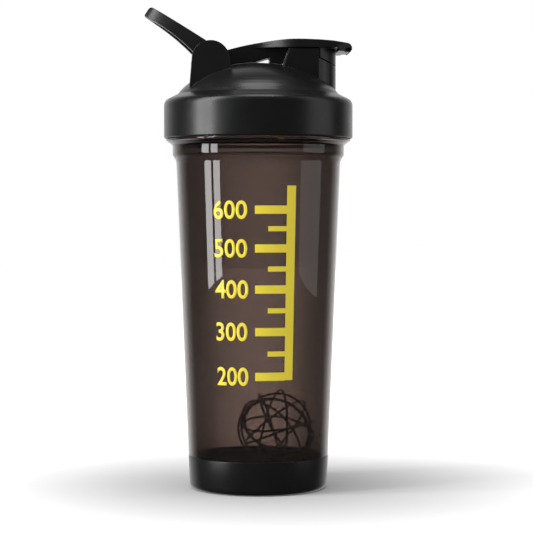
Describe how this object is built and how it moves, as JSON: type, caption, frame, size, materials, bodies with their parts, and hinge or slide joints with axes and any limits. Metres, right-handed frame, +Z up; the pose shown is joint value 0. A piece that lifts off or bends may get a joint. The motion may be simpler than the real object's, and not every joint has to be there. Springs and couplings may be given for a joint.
{
  "type": "shaker bottle",
  "caption": "Tapered clear drinks bottle with an opaque base cup, a domed screw lid, a flip cap over the spout, a carry loop and a loose wire whisk ball inside.",
  "frame": {"origin": "middle of the flat face under the base, on the bottle's axis", "axes": "+Z up the bottle's axis, +X towards the spout, -X towards the hinge and the carry loop, -Y out of the printed front"},
  "size_m": [0.1097, 0.0996, 0.2535],
  "materials": {
    "smoke_clear": "clear smoke-brown moulded copolyester, polished",
    "black_gloss": "black moulded polypropylene, polished",
    "black_satin": "black moulded polypropylene, satin",
    "clear_seal": "milky silicone, satin",
    "grey_seal": "dark grey thermoplastic elastomer, satin",
    "steel_pin": "drawn stainless steel rod",
    "steel_wire": "polished stainless steel spring wire",
    "yellow_ink": "opaque yellow screen print"
  },
  "bodies": {
    "bottle": {"bottle": "smoke_clear", "base_cup": "black_gloss"},
    "seal_carrier": {"lid_gasket": "clear_seal"},
    "lid": {"lid": "black_gloss", "hinge_pin": "steel_pin"},
    "cap": {"flip_cap": "black_satin", "spout_seal": "grey_seal"},
    "loop": {"carry_loop": "black_satin"},
    "ball": {"whisk_ball": "steel_wire"}
  },
  "joints": [
    {"name": "lid_lift", "type": "slide", "parent": "bottle", "child": "seal_carrier", "axis": [0, 0, 1], "range_m": [0, 0.0241]},
    {"name": "lid_turn", "type": "hinge", "parent": "seal_carrier", "child": "lid", "pos_m": [0, 0, 0], "axis": [0, 0, 1], "range_deg": [0, 720]},
    {"name": "flip_hinge", "type": "hinge", "parent": "lid", "child": "cap", "pos_m": [-0.0255, 0, 0.22517], "axis": [0, -1, 0], "range_deg": [0, 105]},
    {"name": "loop_hinge", "type": "hinge", "parent": "lid", "child": "loop", "pos_m": [-0.0255, 0, 0.22517], "axis": [0, -1, 0], "range_deg": [0, 70]},
    {"name": "ball_rise", "type": "slide", "parent": "bottle", "child": "ball", "axis": [0, 0, 1], "range_m": [0, 0.145]}
  ],
  "couplings": [
    {"joint": "lid_lift", "follows": "lid_turn", "m_per_rad": 0.0019099}
  ]
}
